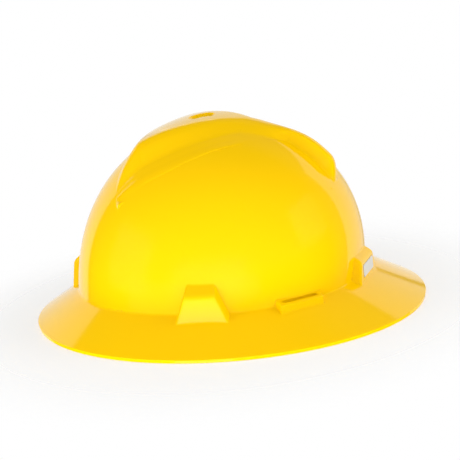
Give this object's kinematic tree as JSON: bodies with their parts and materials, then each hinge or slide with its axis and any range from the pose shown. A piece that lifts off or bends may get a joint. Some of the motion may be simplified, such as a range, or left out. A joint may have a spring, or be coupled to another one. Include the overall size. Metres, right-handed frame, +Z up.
{
  "type": "hard hat, full brim",
  "caption": "Full brim hard hat in glossy yellow plastic with a raised crown, a strap suspension and a nape ratchet that tightens the headband.",
  "frame": {"origin": "middle of the brim's lower edge, on the plane that the hat stands on", "axes": "+X to the wearer's front, +Y to the wearer's left, +Z up through the crown"},
  "size_m": [0.316, 0.2754, 0.1565],
  "materials": {
    "shell_yellow": "glossy moulded polyethylene",
    "plate_pale": "satin, blank",
    "webbing": "woven strap",
    "band_plastic": "fine grain",
    "key_plastic": "fine grain",
    "foam_cloth": "soft padded cloth",
    "stud_plastic": "smooth",
    "rack_plastic": "slippery natural acetal",
    "cover_plastic": "fine grain",
    "spring_plastic": "smooth acetal",
    "grip_rubber": "soft touch",
    "screw_steel": "zinc plated"
  },
  "bodies": {
    "root": {"shell": "shell_yellow", "front_badge": "plate_pale", "strap_long": "webbing", "strap_cross": "webbing", "headband": "band_plastic", "sweatband": "foam_cloth", "headband_studs": "stud_plastic", "tail_left": "band_plastic", "tail_right": "band_plastic", "key_front": "key_plastic", "key_rear": "key_plastic", "key_left": "key_plastic", "key_right": "key_plastic"},
    "ratchet": {"ratchet_inner_cover": "cover_plastic", "ratchet_outer_cover": "cover_plastic", "cover_screws": "screw_steel", "nape_pad": "foam_cloth", "detent_spring": "spring_plastic"},
    "knob": {"knob": "cover_plastic", "knob_grip": "grip_rubber", "knob_screw": "screw_steel", "pinion": "rack_plastic"},
    "rack_left": {"rack_left": "rack_plastic"},
    "rack_right": {"rack_right": "rack_plastic"}
  },
  "joints": [
    {"name": "nape_slide", "type": "slide", "parent": "root", "child": "ratchet", "axis": [1, 0, 0], "range_m": [0, 0.0204]},
    {"name": "knob_turn", "type": "hinge", "parent": "ratchet", "child": "knob", "pos_m": [-0.104, 0, 0.016], "axis": [1, 0, 0], "range_deg": [0, 195]},
    {"name": "rack_left_slide", "type": "slide", "parent": "root", "child": "rack_left", "axis": [0.7071, -0.7071, 0], "range_m": [0, 0.029], "deforming": ["tail_left"]},
    {"name": "rack_right_slide", "type": "slide", "parent": "root", "child": "rack_right", "axis": [0.7071, 0.7071, 0], "range_m": [0, 0.029], "deforming": ["tail_right"]}
  ],
  "couplings": [
    {"joint": "knob_turn", "follows": "nape_slide", "rad_per_m": 166.67},
    {"joint": "rack_left_slide", "follows": "nape_slide", "ratio": 1.4142},
    {"joint": "rack_right_slide", "follows": "nape_slide", "ratio": 1.4142}
  ]
}
